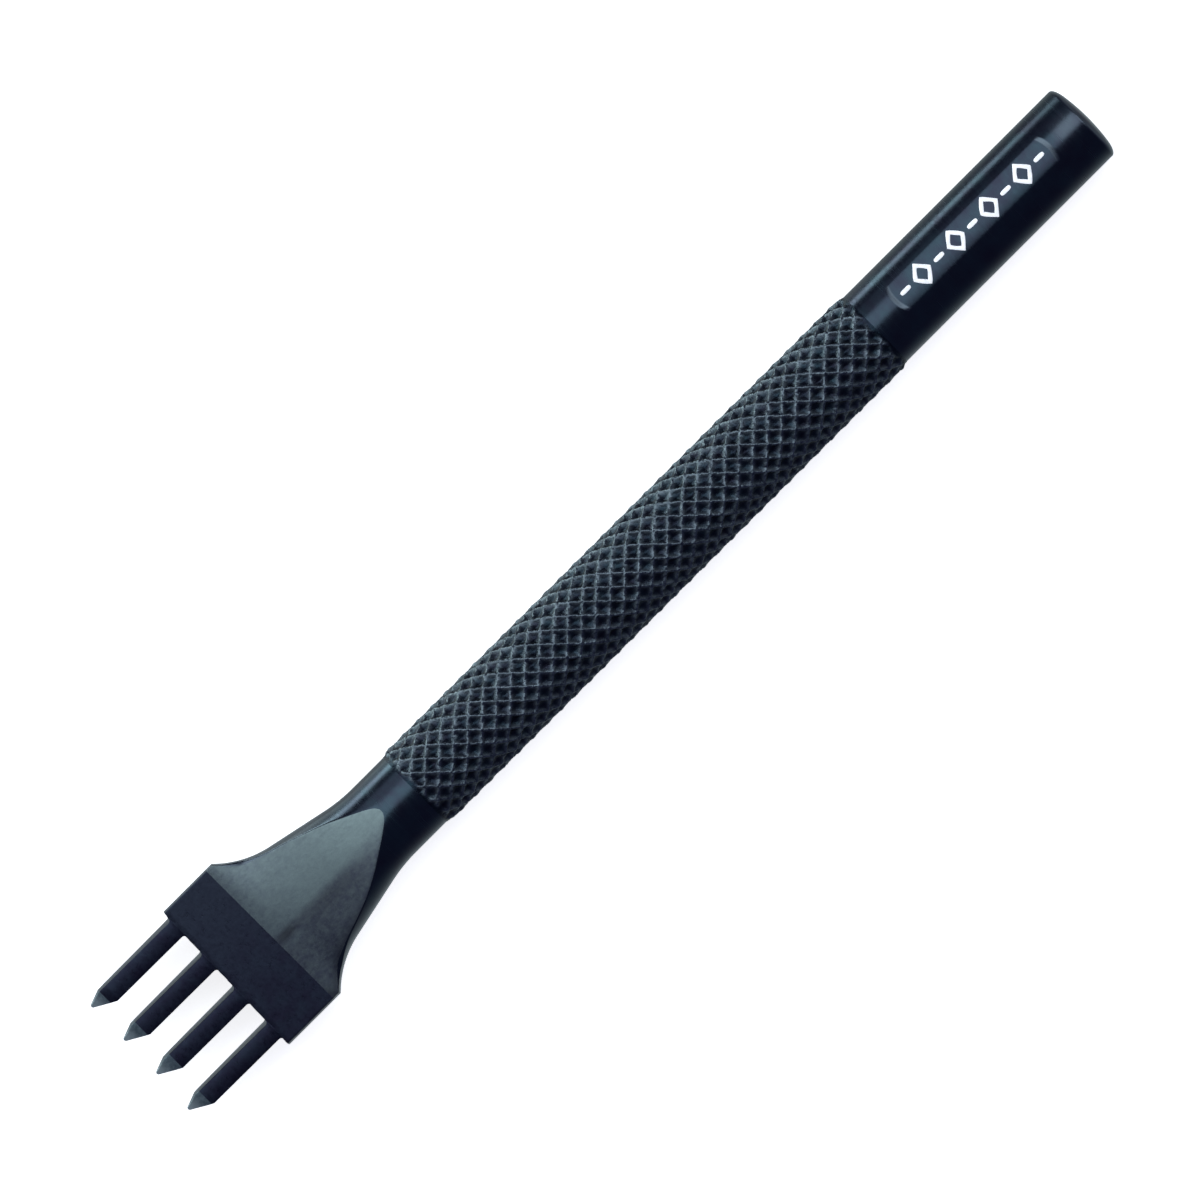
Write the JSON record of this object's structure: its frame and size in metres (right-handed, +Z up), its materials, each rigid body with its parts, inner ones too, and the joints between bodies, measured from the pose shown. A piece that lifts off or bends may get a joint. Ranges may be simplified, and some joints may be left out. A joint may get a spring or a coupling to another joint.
{
  "type": "pricking iron",
  "caption": "Blackened steel pricking iron: leaning pointed prongs on a flared, milled head, a diamond-knurled round grip and a plain struck end with a white pitch mark.",
  "frame": {"origin": "bottom centre of the bounding box: on the bench that the tool lies on, under the middle of its length", "axes": "+X along the tool from the prong points to the struck end, +Z up out of the front face with the mark, +Y across the row of prongs"},
  "size_m": [0.114, 0.0156, 0.0082],
  "materials": {
    "ground_point_steel": "fine ground, thin black oxide",
    "milled_blackened_steel": "milled, black oxide, satin",
    "ground_face_steel": "coarse ground, worn black oxide",
    "turned_blackened_steel": "turned smooth, black oxide, semi-gloss",
    "knurled_blackened_steel": "diamond knurl, black oxide",
    "white_enamel": "white enamel filled into a shallow engraving"
  },
  "bodies": {
    "root": {"prong_point_1": "ground_point_steel", "prong_point_2": "ground_point_steel", "prong_point_3": "ground_point_steel", "prong_point_4": "ground_point_steel", "prong_1": "milled_blackened_steel", "prong_2": "milled_blackened_steel", "prong_3": "milled_blackened_steel", "prong_4": "milled_blackened_steel", "prong_block": "milled_blackened_steel", "flared_head": "ground_face_steel", "neck": "turned_blackened_steel", "knurled_grip": "knurled_blackened_steel", "struck_shank": "turned_blackened_steel", "pitch_mark": "white_enamel"}
  },
  "joints": []
}
